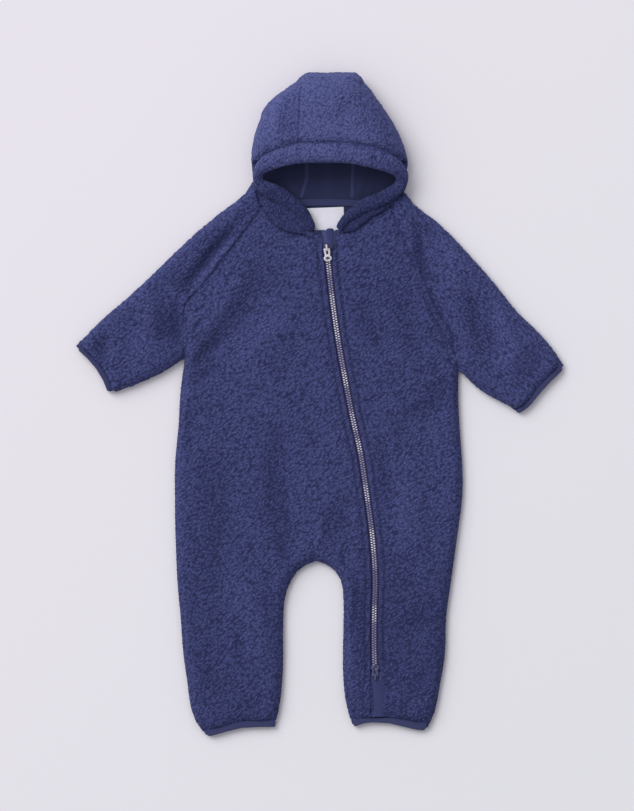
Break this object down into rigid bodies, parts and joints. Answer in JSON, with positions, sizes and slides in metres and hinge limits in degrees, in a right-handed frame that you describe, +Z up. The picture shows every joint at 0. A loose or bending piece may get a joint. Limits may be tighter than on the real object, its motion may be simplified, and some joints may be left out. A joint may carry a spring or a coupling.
{
  "type": "hooded onesie pajama",
  "caption": "Hooded baby onesie in thick curly fleece, lying flat, with raglan sleeves, a slanted zip down the front with turning pull tabs, and smooth bindings at wrists and ankles.",
  "frame": {"origin": "on the surface that the garment lies on, under the middle of its bounding box", "axes": "+Z up from that surface, +Y towards the hood, +X towards the wearer's left"},
  "size_m": [0.5611, 0.7697, 0.05],
  "materials": {
    "fleece": "curly sherpa pile, matt, with a soft sheen on the curls",
    "binding": "smooth fine knit, matt",
    "jersey": "fine jersey, matt",
    "label_weave": "woven satin label, blank",
    "zip_tape": "herringbone zip tape, matt",
    "zip_coil": "nylon coil, satin",
    "silver": "polished plated metal",
    "painted_navy": "satin paint"
  },
  "bodies": {
    "garment": {"back": "fleece", "front_right": "fleece", "front_left": "fleece", "sleeve_right": "fleece", "sleeve_left": "fleece", "hood_side_right": "fleece", "hood_centre": "fleece", "hood_side_left": "fleece", "hood_casing": "fleece", "neck_tape": "binding", "label": "label_weave", "zip_guard": "jersey", "zip_tape_right": "zip_tape", "zip_tape_left": "zip_tape", "zip_chain": "zip_coil", "slider_top": "silver", "slider_bottom": "painted_navy", "zip_foot_strip": "jersey", "cuff_right": "binding", "cuff_left": "binding", "hem_right": "binding", "hem_left": "binding"},
    "top_pull": {"pull_top": "silver"},
    "foot_pull": {"pull_bottom": "painted_navy"}
  },
  "joints": [
    {"name": "pull_top_hinge", "type": "hinge", "parent": "garment", "child": "top_pull", "pos_m": [0.0084, 0.18007, 0.0117], "axis": [-0.9947, -0.1028, 0], "range_deg": [0, 135]},
    {"name": "pull_foot_hinge", "type": "hinge", "parent": "garment", "child": "foot_pull", "pos_m": [0.06447, -0.314, 0.0117], "axis": [0.9994, 0.0348, 0], "range_deg": [0, 135]}
  ]
}
